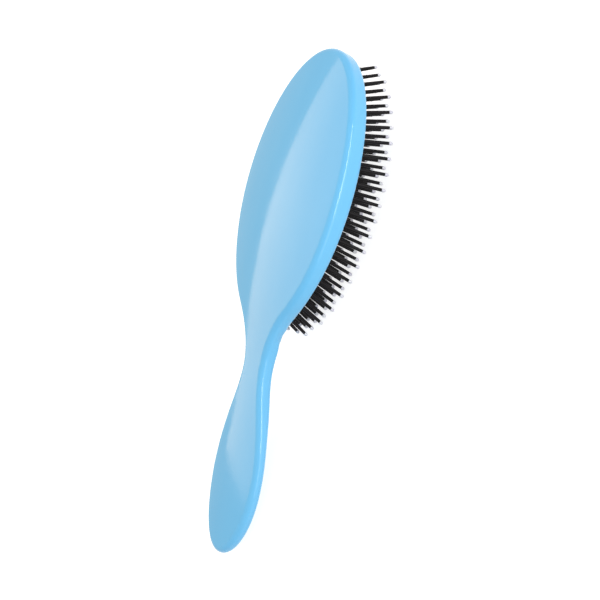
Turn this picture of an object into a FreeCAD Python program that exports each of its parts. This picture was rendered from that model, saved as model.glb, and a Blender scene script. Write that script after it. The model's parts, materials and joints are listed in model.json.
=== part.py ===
import FreeCAD, Part
import math
import os

doc = FreeCAD.newDocument("detangling_brush")
vector = FreeCAD.Vector

# Sizes in mm and degrees. The design frame has y along the brush (head at +y), z toward the
# bristles, and z = 0 on the flat front rim of the head, with y = 0 at the middle of the pad.
sizes = [
    # outline seen from the back
    ("head_half_width", 35.4),
    ("head_half_length", 62.0),
    ("shoulder_distance", 51.0),
    ("waist_half_width", 14.7),
    ("waist_distance", 58.0),
    ("neck_half_width", 8.3),
    ("neck_distance", 78.0),
    ("flare_half_width", 13.1),
    ("flare_distance", 100.0),
    ("handle_half_width", 17.4),
    ("handle_distance", 126.0),
    ("handle_end_length", 35.0),
    # back surface
    ("back_depth", 13.0),
    ("back_dome_radius", 330.0),
    ("back_dome_shift", 6.0),
    ("head_crown_radius", 150.0),
    ("handle_crown_radius", 100.0),
    ("neck_back_depth", 3.3),
    ("handle_back_slope", 0.0863),
    ("back_blend", 1.6),
    # front surface of neck and handle
    ("neck_front_height", 3.9),
    ("handle_front_height", 13.6),
    ("handle_front_peak", 134.0),
    ("handle_front_crown", 21.0),
    ("neck_front_crown", 55.0),
    ("handle_end_drop_radius", 62.0),
    ("tongue_length", 9.0),
    ("front_blend", 2.0),
    # edges and wall of the moulding
    ("back_edge_radius", 2.8),
    ("front_edge_radius", 2.4),
    ("back_wall", 1.5),
    # seat of the pad and its frame
    ("rim_border", 3.4),
    ("frame_width", 2.0),
    ("frame_height", 2.4),
    ("frame_inset", 0.2),
    ("frame_clearance", 0.05),
    ("frame_edge_radius", 0.6),
    ("flange_thickness", 1.8),
    ("flange_clearance", 0.25),
    ("ledge_width", 2.6),
    # rubber pad
    ("pad_height", 5.7),
    ("pad_edge_drop", 3.0),
    ("pad_thickness", 2.0),
    ("pad_frame_gap", 0.3),
    ("pad_step", 0.4),
    ("vent_radius", 0.8),
    # bristles
    ("row_half_spread", 26.4),
    ("row_half_reach", 54.5),
    ("bristle_pitch", 5.82),
    ("first_bristle_distance", 47.0),
    ("least_spacing", 3.9),
    ("bristle_length", 17.2),
    ("splay_radius_across", 58.0),
    ("splay_radius_along", 100.0),
    ("bristle_base_radius", 0.68),
    ("bristle_end_radius", 0.54),
    ("bristle_head_radius", 1.05),
    ("bristle_head_height", 0.5),
    ("bristle_head_gap", 0.2),
    ("bristle_hole_clearance", 0.12),
    # drop-shaped tips
    ("tip_radius", 0.82),
    ("tip_half_length", 1.2),
    ("tip_socket_depth", 1.5),
    ("tip_glue_gap", 0.03),
]
row_count = 12

sheet = doc.addObject("Spreadsheet::Sheet", "Sizes")
for index, (name, value) in enumerate(sizes):
    line = str(index + 1)
    sheet.set("A" + line, name)
    sheet.set("B" + line, repr(value))
    sheet.setAlias("B" + line, name)
doc.recompute()


def size(name):
    return float(sheet.get(name))


def bind(target, **formulas):
    for field, formula in formulas.items():
        target.setExpression(field.replace("__", "."), formula)
    return target


def s(name):
    return "Sizes." + name


# Values worked out from the sizes, used by the free-form pieces and by the placing of bristles.
headHalfWidth = size("head_half_width")
headHalfLength = size("head_half_length")
handleDistance = size("handle_distance")
neckDistance = size("neck_distance")


def smooth_step(value, low, high):
    t = min(1.0, max(0.0, (value - low) / (high - low)))
    return t * t * (3.0 - 2.0 * t)


def smooth_greatest(a, b, blend):
    overlap = max(blend - abs(a - b), 0.0) / blend
    return max(a, b) + overlap * overlap * blend / 4.0


def back_height(x, y):
    # The head is a shallow dome; the straight back of the handle leaves it at the neck.
    dome = -size("back_depth") + (y - size("back_dome_shift")) ** 2 / (2.0 * size("back_dome_radius"))
    straight = -size("neck_back_depth") - (y + neckDistance) * size("handle_back_slope")
    middle = dome
    if y < -size("shoulder_distance"):
        middle = -smooth_greatest(-dome, -straight, size("back_blend"))
    share = smooth_step(y, -neckDistance - 8.0, -size("shoulder_distance"))
    curve = share / size("head_crown_radius") + (1.0 - share) / size("handle_crown_radius")
    return middle + x * x * curve / 2.0


def front_height(x, y):
    # Flat on the head; a crowned tongue starts behind the pad frame and swells into the handle.
    start = -(headHalfLength - size("rim_border")) - 0.4
    peak = -size("handle_front_peak")
    rise = size("handle_front_height") - size("neck_front_height")
    if y < peak:
        ridge = size("handle_front_height") - (y - peak) ** 2 / (2.0 * size("handle_end_drop_radius"))
    else:
        t = min(1.0, max(0.0, (y + neckDistance - 6.0) / (peak + neckDistance - 6.0)))
        ridge = size("neck_front_height") + rise * (1.0 - math.cos(math.pi * t)) / 2.0
    fade = smooth_step(y, start - size("tongue_length"), start)
    ridge = ridge * (1.0 - fade) - 4.0 * fade
    share = smooth_step(y, -size("flare_distance") - 10.0, -neckDistance + 4.0)
    curve = share / size("neck_front_crown") + (1.0 - share) / size("handle_front_crown")
    crowned = ridge - x * x * curve / 2.0
    return smooth_greatest(0.0, crowned, size("front_blend"))


def add_free_form(label, shape):
    feature = doc.addObject("Part::Feature", label)
    feature.Shape = shape
    return feature


def sheet_face(height, reach, low, high):
    # A smooth surface through points of the given height formula, reach to each side of the middle.
    acrossCount = 27
    alongStep = 3.0
    alongCount = int((high - low) / alongStep) + 1
    rows = []
    for i in range(acrossCount):
        x = -reach + 2.0 * reach * i / (acrossCount - 1)
        ys = [low + (high - low) * j / (alongCount - 1) for j in range(alongCount)]
        rows.append([vector(x, y, height(x, y)) for y in ys])
    surface = Part.BSplineSurface()
    surface.interpolate(rows)
    return surface.toShape()


def ellipse_arc(centre, longEnd, wideEnd, start, end):
    # The arc of an ellipse from start to end that passes its long end.
    oval = Part.Ellipse(longEnd, wideEnd, centre)
    first = oval.parameter(start)
    last = oval.parameter(end)
    if first > math.pi:
        first -= 2.0 * math.pi
    if last > math.pi:
        last -= 2.0 * math.pi
    return Part.ArcOfEllipse(oval, min(first, last), max(first, last)).toShape()


def outline_face():
    # Elliptical head and handle end, joined on each side by a spline through the neck.
    shoulderY = -size("shoulder_distance")
    shoulderX = headHalfWidth * math.sqrt(1.0 - (shoulderY / headHalfLength) ** 2)
    shoulderTurn = math.atan2(headHalfWidth ** 2 * shoulderY, headHalfLength ** 2 * shoulderX)
    handleWide = size("handle_half_width")
    handleEnd = -handleDistance - size("handle_end_length")
    side = [
        vector(shoulderX, shoulderY, 0),
        vector(size("waist_half_width"), -size("waist_distance"), 0),
        vector(size("neck_half_width"), -neckDistance, 0),
        vector(size("flare_half_width"), -size("flare_distance"), 0),
        vector(handleWide, -handleDistance, 0),
    ]
    edges = []
    for sign in (1.0, -1.0):
        curve = Part.BSplineCurve()
        curve.interpolate(
            Points=[vector(sign * p.x, p.y, 0) for p in side],
            InitialTangent=vector(sign * math.sin(shoulderTurn), -math.cos(shoulderTurn), 0),
            FinalTangent=vector(0, -1, 0),
            Scale=False,
        )
        edges.append(curve.toShape())
    mirrored = [vector(-p.x, p.y, 0) for p in side]
    headTip = vector(0, headHalfLength, 0)
    headSide = vector(headHalfWidth, 0, 0)
    edges.append(ellipse_arc(vector(0, 0, 0), headTip, headSide, side[0], mirrored[0]))
    endCentre = vector(0, -handleDistance, 0)
    edges.append(ellipse_arc(endCentre, vector(0, handleEnd, 0), side[-1], side[-1], mirrored[-1]))
    return Part.Face(Part.Wire(Part.__sortEdges__(edges)))


outline = add_free_form("outline", outline_face())
bodyReach = headHalfWidth + 5.0
bodyLow = -handleDistance - size("handle_end_length") - 8.0
bodyHigh = headHalfLength + 8.0
backSheet = add_free_form("back_sheet", sheet_face(back_height, bodyReach, bodyLow, bodyHigh))
frontSheet = add_free_form("front_sheet", sheet_face(front_height, bodyReach, bodyLow, bodyHigh))


def extruded(label, base, direction, length):
    solid = doc.addObject("Part::Extrusion", label)
    solid.Base = base
    solid.DirMode = "Custom"
    solid.Dir = direction
    solid.LengthFwd = length
    solid.Solid = True
    return solid


def oval_prism(label, halfWidth, halfLength, bottom, height):
    # An upright elliptical block; all four arguments are formulas on the sheet.
    oval = doc.addObject("Part::Ellipse", label + "_oval")
    bind(oval, MajorRadius=halfLength, MinorRadius=halfWidth)
    oval.Placement = FreeCAD.Placement(vector(0, 0, 0), FreeCAD.Rotation(vector(0, 0, 1), 90))
    bind(oval, Placement__Base__z=bottom)
    block = extruded(label, oval, vector(0, 0, 1), 1.0)
    return bind(block, LengthFwd=height)


def joined(label, kind, parts):
    group = doc.addObject("Part::" + kind, label)
    group.Shapes = parts
    return group


def cut(label, base, tool):
    result = doc.addObject("Part::Cut", label)
    result.Base = base
    result.Tool = tool
    return result


# Body: the outline, kept between the back and front surfaces, with rounded edges.
tall = 80.0
lowered = FreeCAD.Placement(vector(0, 0, -tall / 2.0), FreeCAD.Rotation())
outlineBlock = extruded("outline_block", outline, vector(0, 0, 1), tall)
outlineBlock.Placement = lowered
aboveBack = extruded("above_back", backSheet, vector(0, 0, 1), tall)
belowFront = extruded("below_front", frontSheet, vector(0, 0, -1), tall)
rawBody = joined("raw_body", "MultiCommon", [outlineBlock, aboveBack, belowFront])
doc.recompute()


def is_upright(edge):
    ends = edge.Vertexes
    return len(ends) == 2 and math.hypot(ends[0].X - ends[1].X, ends[0].Y - ends[1].Y) < 0.01


def rounded_edges(label, base, height, radiusName):
    # Rounds the closed edge where the side wall meets the surface of the given height formula.
    fillet = doc.addObject("Part::Fillet", label)
    fillet.Base = base
    radius = size(radiusName)
    chosen = []
    for number, edge in enumerate(base.Shape.Edges, 1):
        middle = edge.valueAt((edge.FirstParameter + edge.LastParameter) / 2.0)
        if not is_upright(edge) and abs(middle.z - height(middle.x, middle.y)) < 0.2:
            chosen.append((number, radius, radius))
    fillet.Edges = chosen
    doc.recompute()
    return fillet


backRounded = rounded_edges("back_rounded", rawBody, back_height, "back_edge_radius")
roundedBody = rounded_edges("rounded_body", backRounded, front_height, "front_edge_radius")

# Seat for the pad and its frame, and the air chamber behind the pad.
pocketWide = "(Sizes.head_half_width - Sizes.rim_border)"
pocketLong = "(Sizes.head_half_length - Sizes.rim_border)"
frameBottom = "(Sizes.frame_inset + Sizes.frame_height)"
ledgeDepth = "(Sizes.frame_inset + Sizes.frame_height + Sizes.flange_thickness)"
pocket = oval_prism("pocket", pocketWide, pocketLong, "-" + ledgeDepth, ledgeDepth + " + 20")
chamberBlock = oval_prism(
    "chamber_block",
    pocketWide + " - Sizes.ledge_width",
    pocketLong + " - Sizes.ledge_width",
    "-" + ledgeDepth + " - 30",
    "31",
)
floorSheet = add_free_form("floor_sheet", backSheet.Shape)
bind(floorSheet, Placement__Base__z="Sizes.back_wall")
aboveFloor = extruded("above_floor", floorSheet, vector(0, 0, 1), tall)
chamber = joined("chamber", "MultiCommon", [chamberBlock, aboveFloor])
hollow = joined("hollow", "MultiFuse", [pocket, chamber])
body = cut("brush_body", roundedBody, hollow)

# Frame that holds the flange of the pad down on the ledge.
frameOuter = oval_prism(
    "frame_outer",
    pocketWide + " - Sizes.frame_clearance",
    pocketLong + " - Sizes.frame_clearance",
    "-" + frameBottom,
    "Sizes.frame_height",
)
frameInner = oval_prism(
    "frame_inner",
    pocketWide + " - Sizes.frame_width",
    pocketLong + " - Sizes.frame_width",
    "-" + frameBottom + " - 1",
    "Sizes.frame_height + 2",
)
frameBlank = cut("frame_blank", frameOuter, frameInner)
doc.recompute()
frame = doc.addObject("Part::Fillet", "pad_frame")
frame.Base = frameBlank
frameTop = -size("frame_inset")
frameRadius = size("frame_edge_radius")
topEdges = []
for number, edge in enumerate(frameBlank.Shape.Edges, 1):
    if edge.BoundBox.ZMin > frameTop - 0.01:
        topEdges.append((number, frameRadius, frameRadius))
frame.Edges = topEdges

# Rubber pad: a dome over the chamber, with a flat flange under the frame.
capInset = " - Sizes.frame_width - Sizes.pad_frame_gap"
capWide = "(" + pocketWide + capInset + ")"
capLong = "(" + pocketLong + capInset + ")"
capHalfWidth = headHalfWidth - size("rim_border") - size("frame_width") - size("pad_frame_gap")
capHalfLength = headHalfLength - size("rim_border") - size("frame_width") - size("pad_frame_gap")
capFoot = -size("frame_inset") - size("frame_height") + size("pad_step")


def pad_skin(x, y):
    # Round in the middle, turning down more steeply towards the flange.
    share = (x / capHalfWidth) ** 2 + (y / capHalfLength) ** 2
    edgeDrop = size("pad_edge_drop")
    roundDrop = size("pad_height") - capFoot - edgeDrop
    return size("pad_height") - roundDrop * share - edgeDrop * share ** 3


skinReach = capHalfWidth + 2.0
skinEnd = capHalfLength + 2.0
skinSheet = add_free_form("skin_sheet", sheet_face(pad_skin, skinReach, -skinEnd, skinEnd))
belowSkin = extruded("below_skin", skinSheet, vector(0, 0, -1), tall)
capBlock = oval_prism("cap_block", capWide, capLong, "-" + ledgeDepth, ledgeDepth + " + Sizes.pad_height + 1")
padCap = joined("pad_cap", "MultiCommon", [capBlock, belowSkin])
flangeWide = pocketWide + " - Sizes.flange_clearance"
flangeLong = pocketLong + " - Sizes.flange_clearance"
flange = oval_prism("flange", flangeWide, flangeLong, "-" + ledgeDepth, "Sizes.flange_thickness")
padFull = joined("pad_full", "MultiFuse", [padCap, flange])
liningSheet = add_free_form("lining_sheet", skinSheet.Shape)
bind(liningSheet, Placement__Base__z="-Sizes.pad_thickness")
belowLining = extruded("below_lining", liningSheet, vector(0, 0, -1), tall)
liningBlock = oval_prism(
    "lining_block",
    capWide + " - Sizes.pad_thickness",
    capLong + " - Sizes.pad_thickness",
    "-" + ledgeDepth + " - 1",
    ledgeDepth + " + Sizes.pad_height + 2",
)
airSpace = joined("air_space", "MultiCommon", [liningBlock, belowLining])
padBlank = cut("pad_blank", padFull, airSpace)
doc.recompute()

# One bristle and one tip, standing along z with z = 0 on the skin of the pad.
shaftBottom = "(Sizes.pad_thickness + Sizes.bristle_head_gap)"
shaftTop = "(Sizes.bristle_length - 2 * Sizes.tip_half_length + Sizes.tip_socket_depth)"
shaft = doc.addObject("Part::Cone", "bristle_shaft")
bind(
    shaft,
    Radius1=s("bristle_base_radius"),
    Radius2=s("bristle_end_radius"),
    Height=shaftTop + " + " + shaftBottom,
    Placement__Base__z="-" + shaftBottom,
)
shaftHead = doc.addObject("Part::Cylinder", "bristle_head")
bind(
    shaftHead,
    Radius=s("bristle_head_radius"),
    Height=s("bristle_head_height"),
    Placement__Base__z="-" + shaftBottom + " - Sizes.bristle_head_height",
)
bristle = joined("bristle", "MultiFuse", [shaft, shaftHead])
tipBlank = doc.addObject("Part::Ellipsoid", "tip_blank")
bind(
    tipBlank,
    Radius1=s("tip_half_length"),
    Radius2=s("tip_radius"),
    Radius3=s("tip_radius"),
    Placement__Base__z="Sizes.bristle_length - Sizes.tip_half_length",
)
socket = doc.addObject("Part::Cone", "tip_socket")
bind(
    socket,
    Radius1="Sizes.bristle_base_radius + Sizes.tip_glue_gap",
    Radius2="Sizes.bristle_end_radius + Sizes.tip_glue_gap",
    Height=shaftTop + " + " + shaftBottom + " + Sizes.tip_glue_gap",
    Placement__Base__z="-" + shaftBottom,
)
tip = cut("bristle_tip", tipBlank, socket)
doc.recompute()

# Bristle places: lengthwise rows that follow the oval, neighbours set half a pitch apart.
def bristle_places(row):
    share = 2.0 * row / (row_count - 1) - 1.0
    reach = size("row_half_reach")
    pitch = size("bristle_pitch")
    start = size("first_bristle_distance") + pitch - (pitch / 2.0 if row % 2 else 0.0)
    places = []
    for step in range(int(2.0 * reach / pitch) + 2):
        y = start - pitch * step
        if abs(y) > reach - pitch / 4.0:
            continue
        narrow = math.sqrt(1.0 - (y / reach) ** 2)
        spacing = 4.0 * size("row_half_spread") / (row_count - 1) * narrow
        if spacing < size("least_spacing") and (row // 2) % 2:
            continue
        x = share * size("row_half_spread") * narrow
        foot = vector(x, y, pad_skin(x, y))
        lean = vector(x / size("splay_radius_across"), y / size("splay_radius_along"), 1.0)
        places.append(FreeCAD.Placement(foot, FreeCAD.Rotation(vector(0, 0, 1), lean)))
    return places


rows = [bristle_places(row) for row in range(row_count)]


def copies(shape, places):
    return [shape.transformed(place.toMatrix(), True) for place in places]


holeRadius = size("bristle_base_radius") + size("bristle_hole_clearance")
holeDepth = 2.0 * size("pad_thickness") + 2.0
hole = Part.makeCylinder(holeRadius, holeDepth, vector(0, 0, -holeDepth + 1.5))
holeShapes = [h for places in rows for h in copies(hole, places)]
holeShapes.append(Part.makeCylinder(size("vent_radius"), 40.0, vector(0, 0, -2.0)))
holes = add_free_form("pad_holes", Part.makeCompound(holeShapes))
pad = cut("cushion_pad", padBlank, holes)
doc.recompute()

nodes = [body, frame, pad]
tipNodes = []
for row, places in enumerate(rows):
    number = "%02d" % (row + 1)
    nodes.append(add_free_form("bristle_row_" + number, Part.makeCompound(copies(bristle.Shape, places))))
    tipNodes.append(add_free_form("bristle_tips_" + number, Part.makeCompound(copies(tip.Shape, places))))
nodes += tipNodes

# The brush lies bristles down: tips and handle both on the table, back upward.
tipEnds = [place.multVec(vector(0, 0, size("bristle_length"))) for places in rows for place in places]
handleTops = [vector(0, y, front_height(0, y)) for y in range(int(-handleDistance - 34), -80)]


def lead(points, slope):
    return max(p.z - slope * p.y for p in points)


low, high = -0.5, 0.5
for attempt in range(60):
    slope = (low + high) / 2.0
    if lead(tipEnds, slope) > lead(handleTops, slope):
        low = slope
    else:
        high = slope
pitchAngle = math.degrees(math.atan(slope))
flip = FreeCAD.Rotation(vector(0, 1, 0), 180.0)
tilt = FreeCAD.Rotation(vector(1, 0, 0), pitchAngle)
turned = FreeCAD.Placement(vector(0, 0, 0), tilt.multiply(flip))


def turned_box(feature):
    shape = feature.Shape.copy()
    shape.Placement = turned
    return shape.optimalBoundingBox(False, False)


bodyBox = turned_box(body)
lowest = min([bodyBox.ZMin] + [turned_box(node).ZMin for node in tipNodes])
middleY = (bodyBox.YMin + bodyBox.YMax) / 2.0
rest = FreeCAD.Placement(vector(0, -middleY, -lowest), turned.Rotation)
for node in nodes:
    node.Placement = rest
doc.recompute()
for row, places in enumerate(rows):
    meanX = sum(place.Base.x for place in places) / len(places)
    press = rest.Rotation.multVec(vector(-meanX / size("splay_radius_across"), 0, -1.0).normalize())
    print("press", row + 1, round(press.x, 5), round(press.y, 5), round(press.z, 5))

os.makedirs("parts", exist_ok=True)
for item in doc.Objects:
    if "Invalid" in item.State or "Error" in item.State:
        raise RuntimeError(item.Label + " did not build")
for node in nodes:
    if node.Shape.isNull() or not node.Shape.isValid():
        raise RuntimeError(node.Label + " is not a valid shape")
    node.Shape.exportStep("parts/" + node.Label + ".step")
    box = node.Shape.BoundBox
    print(node.Label, len(node.Shape.Solids), round(node.Shape.Volume, 1), round(box.ZMin, 2), round(box.ZMax, 2))
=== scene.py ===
import json
import math
import bmesh
import bpy
import numpy as np
from mathutils import Matrix, Vector

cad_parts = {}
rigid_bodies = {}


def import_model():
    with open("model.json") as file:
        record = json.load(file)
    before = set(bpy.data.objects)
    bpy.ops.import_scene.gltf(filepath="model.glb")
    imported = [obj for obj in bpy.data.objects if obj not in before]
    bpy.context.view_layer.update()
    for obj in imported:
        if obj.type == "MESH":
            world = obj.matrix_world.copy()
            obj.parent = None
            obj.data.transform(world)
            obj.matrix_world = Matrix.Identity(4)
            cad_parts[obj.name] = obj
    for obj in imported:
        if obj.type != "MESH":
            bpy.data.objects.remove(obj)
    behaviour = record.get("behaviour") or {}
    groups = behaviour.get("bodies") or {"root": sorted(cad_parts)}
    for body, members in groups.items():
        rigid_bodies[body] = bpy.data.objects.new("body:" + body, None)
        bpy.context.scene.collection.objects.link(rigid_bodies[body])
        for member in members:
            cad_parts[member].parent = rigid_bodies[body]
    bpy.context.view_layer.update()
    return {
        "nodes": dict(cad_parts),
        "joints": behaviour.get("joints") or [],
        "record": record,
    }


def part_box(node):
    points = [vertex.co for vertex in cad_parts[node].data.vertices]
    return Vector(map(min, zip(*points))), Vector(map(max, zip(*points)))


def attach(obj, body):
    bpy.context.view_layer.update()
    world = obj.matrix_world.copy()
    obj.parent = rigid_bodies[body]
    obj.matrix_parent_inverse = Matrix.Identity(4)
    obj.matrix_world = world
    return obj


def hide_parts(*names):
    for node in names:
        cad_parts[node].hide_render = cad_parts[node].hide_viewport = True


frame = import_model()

scene = bpy.context.scene
nodes = frame["nodes"]
mm = 0.001

# The brush lies pins down, tipped a little so that pins and handle both touch the floor.
# Its own axes, in mm: x across, y along with the head at +y, h up from the rim of the head to its back.
seat = {
    "ringMiddle": 1.4,      # height of the middle of the pad frame over the rim
}
grip = next(m for m in frame["record"]["mounts"] if m["name"] == "handle_grip")
tipAngle = math.asin(-grip["axis"][2])
ringLow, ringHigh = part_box("pad_frame")
brushTurn = Matrix.Rotation(tipAngle, 3, "X")
rimMiddle = (ringLow + ringHigh) / 2 - brushTurn @ Vector((0, 0, seat["ringMiddle"])) * mm


def onBrush(x, y, h):      # mm on the brush to metres in the room
    return rimMiddle + brushTurn @ Vector((x, y, h)) * mm


# Camera, as the photo was taken: over the back and one side, the brush leaning to the right.
shot = {
    "aim": (7.4, -45.7, -7.2),     # point of the brush in the middle of the picture
    "distance": 420,
    "swing": 53.6,                 # degrees round the long axis, from square on the back
    "lean": 15.25,                 # degrees that the brush leans in the picture
    "wide": 258.6,                 # mm across the picture at that distance
    "sensor": 36,
    "nearest": 10,                 # mm, nothing closer is drawn
}


def addCamera():
    swing = math.radians(shot["swing"])
    lean = math.radians(shot["lean"])
    back = brushTurn @ Vector((math.sin(swing), 0, math.cos(swing)))
    across = Vector((math.cos(swing) * math.cos(lean), math.sin(lean), -math.sin(swing) * math.cos(lean)))
    right = brushTurn @ across
    up = back.cross(right)
    data = bpy.data.cameras.new("camera")
    data.sensor_width = shot["sensor"]
    data.lens = shot["sensor"] * shot["distance"] / shot["wide"]
    data.clip_start = shot["nearest"] * mm
    camera = bpy.data.objects.new("camera", data)
    scene.collection.objects.link(camera)
    place = Matrix((right, up, back)).transposed().to_4x4()
    place.translation = onBrush(*shot["aim"]) + back * shot["distance"] * mm
    camera.matrix_world = place
    scene.camera = camera


addCamera()
print("camera placed")


def linear(code):          # sRGB hex to linear colour
    parts = [int(code[i:i + 2], 16) / 255 for i in (1, 3, 5)]
    return [c / 12.92 if c <= 0.04045 else ((c + 0.055) / 1.055) ** 2.4 for c in parts] + [1]


def addNode(tree, kind, settings=None, links=None):
    node = tree.nodes.new("ShaderNode" + kind)
    for name, value in (settings or {}).items():
        if name == "stops":        # the two ends of a colour ramp: place and colour
            for stop, (at, code) in zip(node.color_ramp.elements, value):
                stop.position = at
                stop.color = linear(code)
        elif name in node.inputs:
            node.inputs[name].default_value = value
        else:
            setattr(node, name, value)
    for name, source in (links or {}).items():
        tree.links.new(source, node.inputs[name])
    return node


def newMaterial(name):
    material = bpy.data.materials.new(name)
    material.use_nodes = True
    tree = material.node_tree
    tree.nodes.clear()
    place = addNode(tree, "TexCoord").outputs["Object"]
    shader = addNode(tree, "BsdfPrincipled")
    addNode(tree, "OutputMaterial", links={"Surface": shader.outputs["BSDF"]})
    return material, tree, place, shader


def wire(tree, shader, colour, rough, bump):
    tree.links.new(colour.outputs["Color"], shader.inputs["Base Color"])
    tree.links.new(rough.outputs[0], shader.inputs["Roughness"])
    tree.links.new(bump.outputs[0], shader.inputs["Normal"])


def perMm(size):           # texture scale for a pattern of that size in mm
    return 1 / (size * mm)


tintFrom = 0.35            # between these two values of its noise a material changes its tint
tintTo = 0.65

# Polished injection-moulded ABS: even light blue, a clear sharp gloss, a trace of orange peel
# from the mould and faint hazy streaks along the brush from being wiped.
bodyAbs = {
    "blue": "#6EC8F9", "blueFlow": "#72CAFA", "ior": 1.54,
    "flowMm": 16, "flowDrawn": (1, 0.25, 1),           # the plastic flowed lengthwise
    "hazeMm": 11, "streakMm": 0.7, "streakDrawn": (1, 0.05, 1), "streakTurn": (0, 0, 0.3),
    "hazeLow": 0.12, "hazeHigh": 0.42, "glossy": 0.085, "hazy": 0.14,
    "peelMm": 2.6, "peel": 0.02, "peelDeepMm": 0.1,
}


def mouldedAbs():
    material, tree, place, shader = newMaterial("mouldedAbs")
    d = bodyAbs
    drawn = addNode(tree, "Mapping", {"Scale": d["flowDrawn"]}, {"Vector": place})
    flow = addNode(tree, "TexNoise", {"Scale": perMm(d["flowMm"]), "Detail": 3},
                   {"Vector": drawn.outputs[0]})
    haze = addNode(tree, "TexNoise", {"Scale": perMm(d["hazeMm"]), "Detail": 5}, {"Vector": place})
    wiped = addNode(tree, "Mapping", {"Scale": d["streakDrawn"], "Rotation": d["streakTurn"]},
                    {"Vector": place})
    streak = addNode(tree, "TexNoise", {"Scale": perMm(d["streakMm"]), "Detail": 2},
                     {"Vector": wiped.outputs[0]})
    both = addNode(tree, "Math", {"operation": "MULTIPLY"},
                   {0: haze.outputs["Fac"], 1: streak.outputs["Fac"]})
    rough = addNode(tree, "MapRange", {"From Min": d["hazeLow"], "From Max": d["hazeHigh"],
                                       "To Min": d["glossy"], "To Max": d["hazy"]},
                    {"Value": both.outputs[0]})
    peel = addNode(tree, "TexNoise", {"Scale": perMm(d["peelMm"]), "Detail": 1}, {"Vector": place})
    bump = addNode(tree, "Bump", {"Strength": d["peel"], "Distance": d["peelDeepMm"] * mm},
                   {"Height": peel.outputs["Fac"]})
    shader.inputs["IOR"].default_value = d["ior"]
    colour = addNode(tree, "ValToRGB", {"stops": ((tintFrom, d["blue"]), (tintTo, d["blueFlow"]))},
                     {"Fac": flow.outputs["Fac"]})
    wire(tree, shader, colour, rough, bump)
    return material


# The frame ring is the same ABS straight from a finely etched mould: much the same blue, but satin.
frameAbs = {
    "blue": "#6ABEF0", "blueFlow": "#70C2F3", "ior": 1.54, "flowMm": 12,
    "grainMm": 0.5,         # the real etch is about 0.1 mm, drawn five times coarser so that it shows
    "grain": 0.12, "grainDeepMm": 0.05, "satin": 0.3, "dull": 0.42,
}


def etchedAbs():
    material, tree, place, shader = newMaterial("etchedAbs")
    d = frameAbs
    flow = addNode(tree, "TexNoise", {"Scale": perMm(d["flowMm"]), "Detail": 3}, {"Vector": place})
    grain = addNode(tree, "TexNoise", {"Scale": perMm(d["grainMm"]), "Detail": 3}, {"Vector": place})
    rough = addNode(tree, "MapRange", {"To Min": d["satin"], "To Max": d["dull"]},
                    {"Value": grain.outputs["Fac"]})
    bump = addNode(tree, "Bump", {"Strength": d["grain"], "Distance": d["grainDeepMm"] * mm},
                   {"Height": grain.outputs["Fac"]})
    shader.inputs["IOR"].default_value = d["ior"]
    colour = addNode(tree, "ValToRGB", {"stops": ((tintFrom, d["blue"]), (tintTo, d["blueFlow"]))},
                     {"Fac": flow.outputs["Fac"]})
    wire(tree, shader, colour, rough, bump)
    return material


# Compression-moulded natural rubber, black: matt, faintly pebbled, with a grey bloom in patches.
padRubber = {
    "black": "#121214", "bloom": "#242428", "ior": 1.52, "bloomMm": 7, "bloomRough": 0.65,
    "bloomLow": 0.3, "bloomHigh": 0.7, "smooth": 0.5, "matt": 0.72, "sheen": 0.08,
    "pebbleMm": 0.6,        # the real pebble is about 0.2 mm, drawn three times coarser so that it shows
    "pebble": 0.25, "pebbleDeepMm": 0.06,
}


def blackRubber():
    material, tree, place, shader = newMaterial("blackRubber")
    d = padRubber
    bloom = addNode(tree, "TexNoise", {"Scale": perMm(d["bloomMm"]), "Detail": 6,
                                       "Roughness": d["bloomRough"]}, {"Vector": place})
    pebble = addNode(tree, "TexVoronoi", {"Scale": perMm(d["pebbleMm"])}, {"Vector": place})
    rough = addNode(tree, "MapRange", {"From Min": d["bloomLow"], "From Max": d["bloomHigh"],
                                       "To Min": d["smooth"], "To Max": d["matt"]},
                    {"Value": bloom.outputs["Fac"]})
    bump = addNode(tree, "Bump", {"Strength": d["pebble"], "Distance": d["pebbleDeepMm"] * mm},
                   {"Height": pebble.outputs["Distance"]})
    shader.inputs["IOR"].default_value = d["ior"]
    shader.inputs["Sheen Weight"].default_value = d["sheen"]
    colour = addNode(tree, "ValToRGB", {"stops": ((tintFrom, d["black"]), (tintTo, d["bloom"]))},
                     {"Fac": bloom.outputs["Fac"]})
    wire(tree, shader, colour, rough, bump)
    return material


# Injection-moulded black nylon pins: deep black, a low soft shine, fine draw lines up each pin.
pinNylon = {
    "black": "#0A070A", "worn": "#141114", "ior": 1.53, "specular": 0.14, "wearMm": 5,
    "lineMm": 0.35, "lineDrawn": (1, 1, 0.06),      # finer on a real pin, drawn coarser so that they show
    "line": 0.15, "lineDeepMm": 0.04, "shiny": 0.34, "dull": 0.48,
}


def blackNylon():
    material, tree, place, shader = newMaterial("blackNylon")
    d = pinNylon
    wear = addNode(tree, "TexNoise", {"Scale": perMm(d["wearMm"]), "Detail": 4}, {"Vector": place})
    along = addNode(tree, "Mapping", {"Scale": d["lineDrawn"]}, {"Vector": place})
    lines = addNode(tree, "TexNoise", {"Scale": perMm(d["lineMm"]), "Detail": 2},
                    {"Vector": along.outputs[0]})
    rough = addNode(tree, "MapRange", {"To Min": d["shiny"], "To Max": d["dull"]},
                    {"Value": lines.outputs["Fac"]})
    bump = addNode(tree, "Bump", {"Strength": d["line"], "Distance": d["lineDeepMm"] * mm},
                   {"Height": lines.outputs["Fac"]})
    shader.inputs["IOR"].default_value = d["ior"]
    shader.inputs["Specular IOR Level"].default_value = d["specular"]
    colour = addNode(tree, "ValToRGB", {"stops": ((tintFrom, d["black"]), (tintTo, d["worn"]))},
                     {"Fac": wear.outputs["Fac"]})
    wire(tree, shader, colour, rough, bump)
    return material


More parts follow.
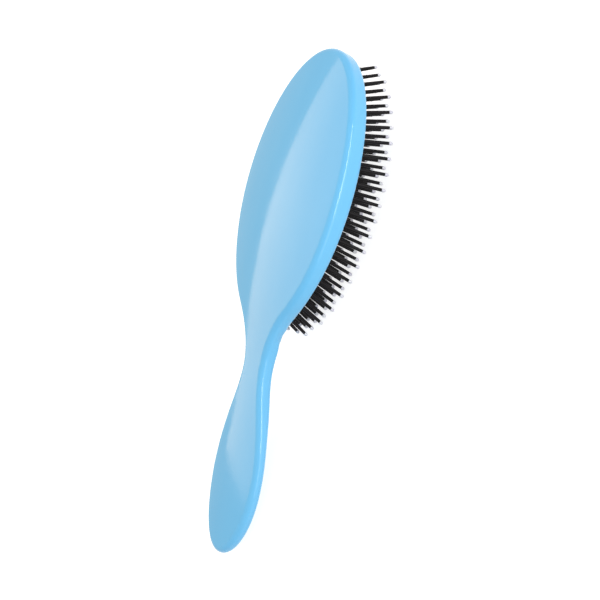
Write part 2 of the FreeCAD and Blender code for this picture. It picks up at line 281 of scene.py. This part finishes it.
# Dipped epoxy drops: near white, wet-looking, letting a little light in, no two quite the same tint.
tipEpoxy = {
    "white": "#F1EFF4", "lilac": "#DCD8E4", "ior": 1.55, "tintMm": 4,
    "rippleMm": 0.8, "ripple": 0.08, "rippleDeepMm": 0.05, "wet": 0.12, "dry": 0.26,
    "letIn": 0.3, "depthMm": 0.5, "depthTint": (1, 0.9, 1),
}


def dippedEpoxy():
    material, tree, place, shader = newMaterial("dippedEpoxy")
    d = tipEpoxy
    tint = addNode(tree, "TexNoise", {"Scale": perMm(d["tintMm"]), "Detail": 2}, {"Vector": place})
    ripple = addNode(tree, "TexNoise", {"Scale": perMm(d["rippleMm"]), "Detail": 1}, {"Vector": place})
    rough = addNode(tree, "MapRange", {"To Min": d["wet"], "To Max": d["dry"]},
                    {"Value": ripple.outputs["Fac"]})
    bump = addNode(tree, "Bump", {"Strength": d["ripple"], "Distance": d["rippleDeepMm"] * mm},
                   {"Height": ripple.outputs["Fac"]})
    shader.inputs["IOR"].default_value = d["ior"]
    shader.inputs["Subsurface Weight"].default_value = d["letIn"]
    shader.inputs["Subsurface Radius"].default_value = d["depthTint"]
    shader.inputs["Subsurface Scale"].default_value = d["depthMm"] * mm
    colour = addNode(tree, "ValToRGB", {"stops": ((tintFrom, d["lilac"]), (tintTo, d["white"]))},
                     {"Fac": tint.outputs["Fac"]})
    wire(tree, shader, colour, rough, bump)
    return material


def dress(name, material):
    piece = nodes[name]
    piece.data.materials.clear()
    piece.data.materials.append(material)


bodyMaterial = mouldedAbs()
nylonMaterial = blackNylon()
epoxyMaterial = dippedEpoxy()
rubberMaterial = blackRubber()
dress("pad_frame", etchedAbs())
rowNames = sorted(n for n in nodes if n.startswith("bristle_row"))
tipNames = sorted(n for n in nodes if n.startswith("bristle_tips"))
for name in tipNames:
    dress(name, epoxyMaterial)
print("materials made; frame and %d rows of tips dressed" % len(tipNames))

# Under the neck the moulding sweeps smoothly from the rim of the head into the handle. The solid has a
# short step there, so a copy of its skin is cut finer along the neck and drawn to the smooth line.
neckSweep = {
    "begin": 40, "end": 82,                            # mm from the middle of the pad towards the handle
    "depth": 3.9,                                      # of the neck below the rim
    "crownFrom": 52, "crownTo": 72, "crownRadius": 55,
    "joinFrom": 66, "joinTo": 80,                      # here the solid's own line takes over again
    "stepFrom": 59, "stepTo": 68, "stepFloor": -4, "stepBlend": 2,             # the step of the solid
    "swellFrom": 72, "swellLength": 62, "swell": 9.7,                          # the swelling of its handle
    "edge": 2.4,                                       # rounding of the front edge
    "rimHalfWidth": 32.0, "rimHalfLength": 58.6, "rimSlack": 0.998,            # inner edge of the rim
    "cutEvery": 1, "cutSlack": 0.001, "probe": 0.01,
}


def ease(value, low, high):
    t = np.clip((value - low) / (high - low), 0, 1)
    return t * t * (3 - 2 * t)


def solidFront(x, y):      # how far the front of the solid stands below the rim
    d = neckSweep
    turn = np.clip((-y - d["swellFrom"]) / d["swellLength"], 0, 1) * math.pi
    keep = ease(-y, d["stepFrom"], d["stepTo"])
    ridge = (d["depth"] + d["swell"] * (1 - np.cos(turn)) / 2) * keep + d["stepFloor"] * (1 - keep)
    crowned = ridge - x * x / (2 * d["crownRadius"])
    overlap = np.clip(d["stepBlend"] - np.abs(crowned), 0, None) / d["stepBlend"]
    return np.maximum(0, crowned) + overlap * overlap * d["stepBlend"] / 4


def drawDown(x, y, z):     # how far a point z below the rim moves towards the pins
    d = neckSweep
    front = solidFront(x, y)
    crown = x * x / (2 * d["crownRadius"]) * ease(-y, d["crownFrom"], d["crownTo"])
    swept = d["depth"] * ease(-y, d["begin"], d["end"]) - crown
    pull = (swept - front) * (1 - ease(-y, d["joinFrom"], d["joinTo"]))
    return pull * np.clip((z - front + d["edge"]) / d["edge"], 0, 1)


def cutSkin():             # the skin of the solid with more rings round the neck; it carries its normals
    d = neckSweep
    data = nodes["brush_body"].data.copy()
    data.name = "mouldedBody"
    normals = np.zeros(len(data.loops) * 3)
    data.corner_normals.foreach_get("vector", normals)
    data.attributes.new("skinNormal", "FLOAT_VECTOR", "CORNER").data.foreach_set("vector", normals)
    mesh = bmesh.new()
    mesh.from_mesh(data)
    lengthwise = brushTurn @ Vector((0, 1, 0))
    skin = mesh.verts[:] + mesh.edges[:] + mesh.faces[:]
    for away in range(d["begin"], d["end"], d["cutEvery"]):
        cut = bmesh.ops.bisect_plane(mesh, geom=skin, dist=d["cutSlack"] * mm,
                                     plane_co=onBrush(0, -away, 0), plane_no=lengthwise)
        skin = cut["geom"]
    mesh.to_mesh(data)
    mesh.free()
    return data


def addBody():
    d = neckSweep
    data = cutSkin()
    turn = np.array(brushTurn)
    places = np.zeros(len(data.vertices) * 3)
    data.vertices.foreach_get("co", places)
    x, y, h = ((places.reshape(-1, 3) - np.array(rimMiddle)) @ turn / mm).T
    # The seat of the pad inside the rim stays as it is.
    outside = (x / d["rimHalfWidth"]) ** 2 + (y / d["rimHalfLength"]) ** 2 > d["rimSlack"]
    moved = np.stack((x, y, h - drawDown(x, y, -h) * outside), 1)
    data.vertices.foreach_set("co", (moved @ turn.T * mm + np.array(rimMiddle)).ravel())
    # The solid's exact normals are bent with the skin, so the gloss stays clean.
    e = d["probe"]
    slopeX = (drawDown(x + e, y, -h) - drawDown(x - e, y, -h)) / (2 * e) * outside
    slopeY = (drawDown(x, y + e, -h) - drawDown(x, y - e, -h)) / (2 * e) * outside
    slopeZ = (drawDown(x, y, -h + e) - drawDown(x, y, -h - e)) / (2 * e) * outside
    normals = np.zeros(len(data.loops) * 3)
    data.attributes["skinNormal"].data.foreach_get("vector", normals)
    corner = np.zeros(len(data.loops), dtype=np.int32)
    data.loops.foreach_get("vertex_index", corner)
    across, along, up = (normals.reshape(-1, 3) @ turn).T
    up = up / (1 + slopeZ[corner])
    bent = np.stack((across + slopeX[corner] * up, along + slopeY[corner] * up, up), 1) @ turn.T
    bent /= np.linalg.norm(bent, axis=1, keepdims=True)
    data.attributes.remove(data.attributes["skinNormal"])
    data.update()
    data.normals_split_custom_set(bent.tolist())
    piece = bpy.data.objects.new("mouldedBody", data)
    scene.collection.objects.link(piece)
    data.materials.clear()
    data.materials.append(bodyMaterial)
    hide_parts("brush_body")
    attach(piece, "brush")
    print("body: %d faces" % len(data.polygons))


addBody()

weld = 0.002 * mm          # corners of a solid's mesh that are nearer than this are one


# Each pin is one loose island of its row: its middle and its line, in mm on the brush.
def pinLines(name):
    mesh = bmesh.new()
    mesh.from_mesh(nodes[name].data)
    bmesh.ops.remove_doubles(mesh, verts=mesh.verts, dist=weld)
    mesh.verts.ensure_lookup_table()
    seen = set()
    lines = []
    for first in mesh.verts:
        if first.index in seen:
            continue
        island = [first]
        seen.add(first.index)
        for vert in island:
            for edge in vert.link_edges:
                other = edge.other_vert(vert)
                if other.index not in seen:
                    seen.add(other.index)
                    island.append(other)
        points = np.array([brushTurn.transposed() @ (v.co - rimMiddle) / mm for v in island])
        direction = np.linalg.svd(points - points.mean(0), full_matrices=False)[2][0]
        lines.append((points.mean(0), direction * np.sign(-direction[2])))
    mesh.free()
    return lines


rowLines = {name: pinLines(name) for name in rowNames}
pins = [line for name in rowNames for line in rowLines[name]]
print("pins found:", len(pins))

# The rubber pad: a thin dome, drawn in a little round each pin, with its flange under the frame.
cushion = {
    "height": 5.7, "edgeDrop": 3.0, "foot": -2.2,       # crown, extra fall at the edge, foot of the dome
    "halfWidth": 29.7, "halfLength": 56.3,              # of the dome
    "flangeTop": -2.6, "flangeBottom": -4.4, "flangeReach": 2.1, "flangeRound": 0.15,
    "thickness": 2.0, "rings": 64, "underRings": 24, "spokes": 240,
    "dimple": 0.38, "dimpleMm": 1.5, "lip": 0.2, "lipMm": 1.75, "lipWideMm": 0.5,
    "calmEdge": 0.025,                                  # share of the dome where dimples and lips die out
    "holeRadius": 0.9, "ventRadius": 0.8, "holeSides": 20,
    "holeFrom": -4.4, "holeTo": 2.0,                    # reach of a cutting rod below and above the skin
    "footRounds": 12,
}


def padSkin(x, y):
    d = cushion
    share = (x / d["halfWidth"]) ** 2 + (y / d["halfLength"]) ** 2
    return d["height"] - (d["height"] - d["foot"] - d["edgeDrop"]) * share - d["edgeDrop"] * share ** 3


def pinFoot(line):         # where a pin's line meets the skin of the pad
    point, direction = line
    t = 0.0
    for step in range(cushion["footRounds"]):
        at = point + direction * t
        t += (padSkin(at[0], at[1]) + at[2]) / -direction[2]
    return point + direction * t


feet = np.array([pinFoot(line)[:2] for line in pins])


def drawnIn(x, y):         # how far the skin dips at the pins and swells into a lip round them
    d = cushion
    away = np.sqrt(((np.array((x, y)) - feet) ** 2).sum(1)).min()
    dip = d["dimple"] * math.exp(-(away / d["dimpleMm"]) ** 2)
    lip = d["lip"] * math.exp(-((away - d["lipMm"]) / d["lipWideMm"]) ** 2)
    return lip - dip


def addCushion():
    d = cushion
    mesh = bmesh.new()
    # Profile from the crown over the dome and flange and back under the dome: share of the dome, offset,
    # and height, where it doesn't follow the skin.
    top = d["flangeTop"]
    bottom = d["flangeBottom"]
    outer = [(i / d["rings"], 0, None) for i in range(1, d["rings"] + 1)]
    rim = [(1, 0, top + d["flangeRound"]), (1, d["flangeRound"], top), (1, d["flangeReach"], top),
           (1, d["flangeReach"], bottom), (1, -d["thickness"], bottom)]
    innerEdge = 1 - d["thickness"] / d["halfWidth"]
    inner = [(innerEdge * i / d["underRings"], 0, "under") for i in range(d["underRings"], 0, -1)]
    rings = []
    for share, offset, height in outer + rim + inner:
        ring = []
        for k in range(d["spokes"]):
            turn = 2 * math.pi * k / d["spokes"]
            x = (d["halfWidth"] * share + offset) * math.cos(turn)
            y = (d["halfLength"] * share + offset) * math.sin(turn)
            if height is None:
                z = padSkin(x, y) + drawnIn(x, y) * min(1, (1 - share) / d["calmEdge"])
            elif height == "under":
                z = padSkin(x, y) - d["thickness"]
            else:
                z = height
            ring.append(mesh.verts.new(onBrush(x, y, -z)))
        rings.append(ring)
    for a, b in zip(rings, rings[1:]):
        for k in range(d["spokes"]):
            n = (k + 1) % d["spokes"]
            mesh.faces.new((a[k], a[n], b[n], b[k]))
    crown = mesh.verts.new(onBrush(0, 0, -padSkin(0, 0)))
    roof = mesh.verts.new(onBrush(0, 0, -padSkin(0, 0) + d["thickness"]))
    for k in range(d["spokes"]):
        n = (k + 1) % d["spokes"]
        mesh.faces.new((crown, rings[0][n], rings[0][k]))
        mesh.faces.new((roof, rings[-1][k], rings[-1][n]))
    bmesh.ops.recalc_face_normals(mesh, faces=mesh.faces)
    data = bpy.data.meshes.new("rubberCushion")
    mesh.to_mesh(data)
    mesh.free()
    piece = bpy.data.objects.new("rubberCushion", data)
    scene.collection.objects.link(piece)
    for face in data.polygons:
        face.use_smooth = True
    return piece


# Rubber gives when a row is pressed; here each hole is long enough for its pin's way in.
def holeTools():           # one cutter with a rod for each pin and one for the vent
    d = cushion
    travel = {j["child"]: Vector(j["axis"]) * j["range_m"][1] for j in frame["joints"]}
    rods = [(pinFoot(line), line[1], d["holeRadius"], travel["row" + name[-3:]])
            for name in rowNames for line in rowLines[name]]
    rods.append((np.array((0, 0, -d["height"])), np.array((0, 0, -1.0)), d["ventRadius"], Vector()))
    mesh = bmesh.new()
    for point, direction, radius, way in rods:
        axis = (brushTurn @ Vector(direction)).normalized()
        spin = axis.to_track_quat("Z", "Y").to_matrix()
        slip = way - axis * way.dot(axis)          # sideways part of the way in
        corners = []
        for along in (d["holeFrom"], d["holeTo"]):
            for shift in (Vector(), slip):
                for k in range(d["holeSides"]):
                    turn = 2 * math.pi * k / d["holeSides"]
                    ring = Vector((radius * math.cos(turn), radius * math.sin(turn), along)) * mm
                    corners.append(mesh.verts.new(onBrush(*point) + spin @ ring + shift))
        hull = bmesh.ops.convex_hull(mesh, input=corners)
        spare = [v for v in hull["geom_interior"] if isinstance(v, bmesh.types.BMVert)]
        bmesh.ops.delete(mesh, geom=spare)
    data = bpy.data.meshes.new("holeTools")
    mesh.to_mesh(data)
    mesh.free()
    tools = bpy.data.objects.new("holeTools", data)
    scene.collection.objects.link(tools)
    return tools


rubberCushion = addCushion()
tools = holeTools()
punch = rubberCushion.modifiers.new("punch", "BOOLEAN")
punch.operation = "DIFFERENCE"
punch.object = tools
punch.solver = "EXACT"
bpy.context.view_layer.objects.active = rubberCushion
bpy.ops.object.modifier_apply(modifier="punch")
bpy.data.objects.remove(tools)
rubberCushion.data.materials.append(rubberMaterial)
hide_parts("cushion_pad")
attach(rubberCushion, "brush")
print("cushion: %d faces" % len(rubberCushion.data.polygons))

# Pins as moulded: a button head behind the rubber, a stout shaft that tapers, a thin spigot in the tip.
pin = {
    # distance from the skin of the pad along the pin, and radius there, in mm
    "profile": ((-2.7, 0.9), (-2.62, 1.0), (-2.54, 1.04), (-2.3, 1.04), (-2.24, 1.0), (-2.2, 0.9),
                (-1.9, 0.85), (0, 0.835), (4, 0.81), (8, 0.775), (12, 0.745), (15.2, 0.72), (15.34, 0.69),
                (15.46, 0.6), (15.6, 0.54), (16.2, 0.52), (16.28, 0.44)),
    "sides": 20,
}


def addPinRow(name):
    mesh = bmesh.new()
    for line in rowLines[name]:
        foot = pinFoot(line)
        spin = (brushTurn @ Vector(line[1])).to_track_quat("Z", "Y").to_matrix().to_4x4()
        spin.translation = onBrush(*foot)
        rings = []
        for along, radius in pin["profile"]:
            ring = []
            for k in range(pin["sides"]):
                turn = 2 * math.pi * k / pin["sides"]
                corner = Vector((radius * math.cos(turn), radius * math.sin(turn), along)) * mm
                ring.append(mesh.verts.new(spin @ corner))
            rings.append(ring)
        for a, b in zip(rings, rings[1:]):
            for k in range(pin["sides"]):
                n = (k + 1) % pin["sides"]
                mesh.faces.new((a[k], a[n], b[n], b[k])).smooth = True
        mesh.faces.new(rings[0][::-1])
        mesh.faces.new(rings[-1])
    data = bpy.data.meshes.new("pins" + name[-2:])
    mesh.to_mesh(data)
    mesh.free()
    piece = bpy.data.objects.new("pins" + name[-2:], data)
    scene.collection.objects.link(piece)
    data.materials.append(nylonMaterial)
    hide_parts(name)
    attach(piece, "row" + name[-3:])


for name in rowNames:
    addPinRow(name)
print("rows of pins made:", len(rowNames))

# Studio: a pale floor, a long warm soft box beyond the far side that shows in the gloss of the back, and
# on the camera's side a narrow strip that draws the line on the rounded edge and a broad low fill.
studio = {
    "floorMm": 6000, "floor": "#E4E4E4", "floorGlow": 0.72, "world": 0.54, "sky": "#F4FAFF",
    "headFrom": 0.5, "handleTo": 0.4,                  # where along a panel its fall to each end begins
}
lights = {
    "softBox": {"at": (-402, 20, 464), "look": (78, 20, 104), "wide": 366, "high": 700, "spin": -15,
                "radiance": 3.0, "fade": 0.45, "headFade": 0.4, "handleFade": 0.68, "tint": "#FFE2C0"},
    "strip": {"at": (760, 260, 330), "look": (20, 40, 5), "wide": 130, "high": 700, "spin": 0,
              "radiance": 9.0, "fade": 1, "headFade": 1, "handleFade": 1, "tint": "#FFFFFF"},
    "fill": {"at": (900, 0, 170), "look": (0, 0, 0), "wide": 300, "high": 1000, "spin": 0,
             "radiance": 1.9, "fade": 1, "headFade": 1, "handleFade": 1, "tint": "#FFFFFF"},
}


def seenDirectly(tree):    # 1 for what the camera sees, also in a reflection or through clear plastic
    ray = addNode(tree, "LightPath")
    plain = addNode(tree, "Math", {"operation": "ADD"},
                    {0: ray.outputs["Is Camera Ray"], 1: ray.outputs["Is Glossy Ray"]})
    return addNode(tree, "Math", {"operation": "ADD", "use_clamp": True},
                   {0: plain.outputs[0], 1: ray.outputs["Is Transmission Ray"]}).outputs[0]


def addFloor():
    size = studio["floorMm"] * mm / 2
    data = bpy.data.meshes.new("floor")
    corners = [(-size, -size, 0), (size, -size, 0), (size, size, 0), (-size, size, 0)]
    data.from_pydata(corners, [], [(0, 1, 2, 3)])
    floor = bpy.data.objects.new("floor", data)
    scene.collection.objects.link(floor)
    material = bpy.data.materials.new("paleFloor")
    material.use_nodes = True
    tree = material.node_tree
    tree.nodes.clear()
    matt = addNode(tree, "BsdfDiffuse", {"Color": linear(studio["floor"])})
    glow = addNode(tree, "Emission", {"Color": (1, 1, 1, 1), "Strength": studio["floorGlow"]})
    lifted = addNode(tree, "AddShader", links={0: matt.outputs[0], 1: glow.outputs[0]})
    seen = addNode(tree, "MixShader", links={"Fac": seenDirectly(tree), 1: matt.outputs[0],
                                             2: lifted.outputs[0]})
    addNode(tree, "OutputMaterial", links={"Surface": seen.outputs[0]})
    data.materials.append(material)


def addLight(name, d):
    data = bpy.data.lights.new(name, "AREA")
    data.shape = "RECTANGLE"
    data.size = d["wide"] * mm
    data.size_y = d["high"] * mm
    data.energy = d["radiance"] * math.pi * data.size * data.size_y
    data.use_nodes = True
    tree = data.node_tree
    tree.nodes.clear()
    panel = addNode(tree, "NewGeometry").outputs["Parametric"]
    split = addNode(tree, "SeparateXYZ", links={"Vector": panel})
    # The cloth is brightest along one long side and falls off to the other side and to both ends.
    side = addNode(tree, "MapRange", {"To Min": 1, "To Max": d["fade"]}, {"Value": split.outputs[0]})
    head = addNode(tree, "MapRange", {"From Min": studio["headFrom"], "To Min": 1, "To Max": d["headFade"]},
                   {"Value": split.outputs[1]})
    handle = addNode(tree, "MapRange", {"From Max": studio["handleTo"], "To Min": d["handleFade"],
                                        "To Max": 1}, {"Value": split.outputs[1]})
    ends = addNode(tree, "Math", {"operation": "MULTIPLY"}, {0: head.outputs[0], 1: handle.outputs[0]})
    fall = addNode(tree, "Math", {"operation": "MULTIPLY"}, {0: side.outputs[0], 1: ends.outputs[0]})
    glow = addNode(tree, "Emission", {"Color": linear(d["tint"])}, {"Strength": fall.outputs[0]})
    addNode(tree, "OutputLight", links={"Surface": glow.outputs[0]})
    lamp = bpy.data.objects.new(name, data)
    scene.collection.objects.link(lamp)
    away = brushTurn @ (Vector(d["at"]) - Vector(d["look"])).normalized()
    along = brushTurn @ Vector((0, 1, 0))
    across = along.cross(away).normalized()
    place = Matrix((across, away.cross(across), away)).transposed()
    place = (place @ Matrix.Rotation(math.radians(d["spin"]), 3, "Z")).to_4x4()
    place.translation = onBrush(*d["at"])
    lamp.matrix_world = place


def addWorld():
    world = bpy.data.worlds.new("studio")
    world.use_nodes = True
    tree = world.node_tree
    tree.nodes.clear()
    lit = addNode(tree, "Background", {"Color": linear(studio["sky"]), "Strength": studio["world"]})
    white = addNode(tree, "Background", {"Color": (1, 1, 1, 1), "Strength": 1})
    shown = addNode(tree, "MixShader", links={"Fac": seenDirectly(tree), 1: lit.outputs[0],
                                              2: white.outputs[0]})
    addNode(tree, "OutputWorld", links={"Surface": shown.outputs[0]})
    scene.world = world


addFloor()
for name, settings in lights.items():
    addLight(name, settings)
addWorld()
scene.view_settings.view_transform = "Standard"
print("studio lit")
